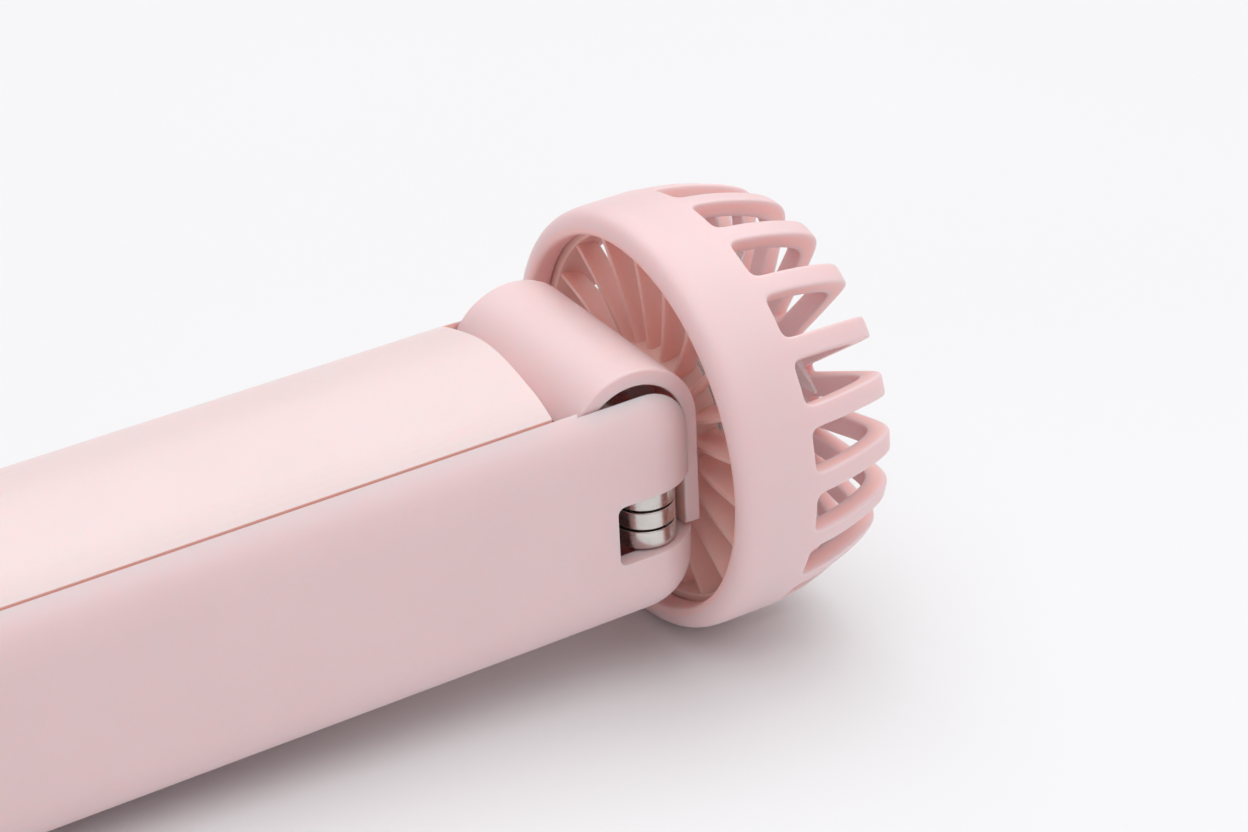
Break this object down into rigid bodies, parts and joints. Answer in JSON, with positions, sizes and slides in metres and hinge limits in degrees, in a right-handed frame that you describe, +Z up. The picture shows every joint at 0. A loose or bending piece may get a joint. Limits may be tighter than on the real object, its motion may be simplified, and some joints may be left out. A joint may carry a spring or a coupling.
{
  "type": "folding handheld fan",
  "caption": "Folding handheld mini fan: square pink handle, caged round fan head on a barrel hinge between two ears, clear impeller behind swept guard vanes.",
  "frame": {"origin": "middle of the bounding box in X and Y, on its lowest plane, which touches the bottom of the round head", "axes": "+X along the handle towards the head, +Z up through the top cover, +Y to the far side; the hinge axis is parallel to Y and the fan axis is parallel to X"},
  "size_m": [0.1514, 0.056, 0.056],
  "materials": {
    "pink_plastic": "fine satin moulding, light powder pink",
    "pink_inner": "satin moulding, deeper pink in the shade",
    "clear_plastic": "clear polished moulding",
    "turned_steel": "turned, fine rings round the axis",
    "brass": "sintered, dull",
    "copper": "enamelled wire",
    "magnet": "bonded ferrite, matt",
    "board": "solder mask",
    "black_plastic": "moulded, matt",
    "cell_wrap": "shrink sleeve",
    "nylon": "natural nylon",
    "lead_sleeve": "silicone sleeve"
  },
  "bodies": {
    "handle": {"handle_shell": "pink_plastic", "top_cover": "pink_plastic", "tail_cap": "pink_plastic", "hinge_bulkhead": "pink_inner", "strap_post": "turned_steel", "strap_ring_lower": "turned_steel", "strap_ring_middle": "turned_steel", "strap_ring_upper": "turned_steel", "hinge_pin_near": "turned_steel", "hinge_pin_far": "turned_steel", "hinge_clip_near": "turned_steel", "hinge_clip_far": "turned_steel", "friction_washer_near": "turned_steel", "friction_washer_far": "turned_steel", "battery_tray": "black_plastic", "battery_cell": "cell_wrap", "battery_tab_front": "turned_steel", "battery_tab_rear": "turned_steel", "main_board": "board", "board_screw_near": "turned_steel", "board_screw_far": "turned_steel", "charge_chip": "black_plastic", "boost_inductor": "magnet", "status_led": "clear_plastic", "usb_c_socket": "turned_steel", "tact_switch": "black_plastic", "motor_lead_handle": "lead_sleeve"},
    "button": {"power_button": "pink_plastic"},
    "head": {"hinge_barrel": "pink_plastic", "hinge_bush_near": "nylon", "hinge_bush_far": "nylon", "neck_screw_near": "turned_steel", "neck_screw_far": "turned_steel", "fan_cage": "pink_plastic", "cage_hub_cap": "pink_plastic", "rear_stator": "pink_inner", "stator_core": "turned_steel", "motor_board": "board", "bearing_tube": "brass", "bearing_rear": "brass", "bearing_front": "brass", "motor_lead_head": "lead_sleeve", "motor_coil_1": "copper", "motor_coil_2": "copper", "motor_coil_3": "copper", "motor_coil_4": "copper", "motor_coil_5": "copper", "motor_coil_6": "copper"},
    "fan": {"impeller": "clear_plastic", "rotor_cup": "turned_steel", "magnet_ring": "magnet", "motor_shaft": "turned_steel"}
  },
  "joints": [
    {"name": "head_tilt", "type": "hinge", "parent": "handle", "child": "head", "pos_m": [0.0433, 0, 0.0356], "axis": [0, -1, 0], "range_deg": [0, 80]},
    {"name": "impeller_spin", "type": "hinge", "parent": "head", "child": "fan", "pos_m": [0.0508, 0, 0.028], "axis": [1, 0, 0], "continuous": true},
    {"name": "power_button_press", "type": "slide", "parent": "handle", "child": "button", "axis": [0, 0, 1], "range_m": [0, 0.0006], "stiffness_N_per_m": 1500, "springref_m": -0.0003}
  ]
}
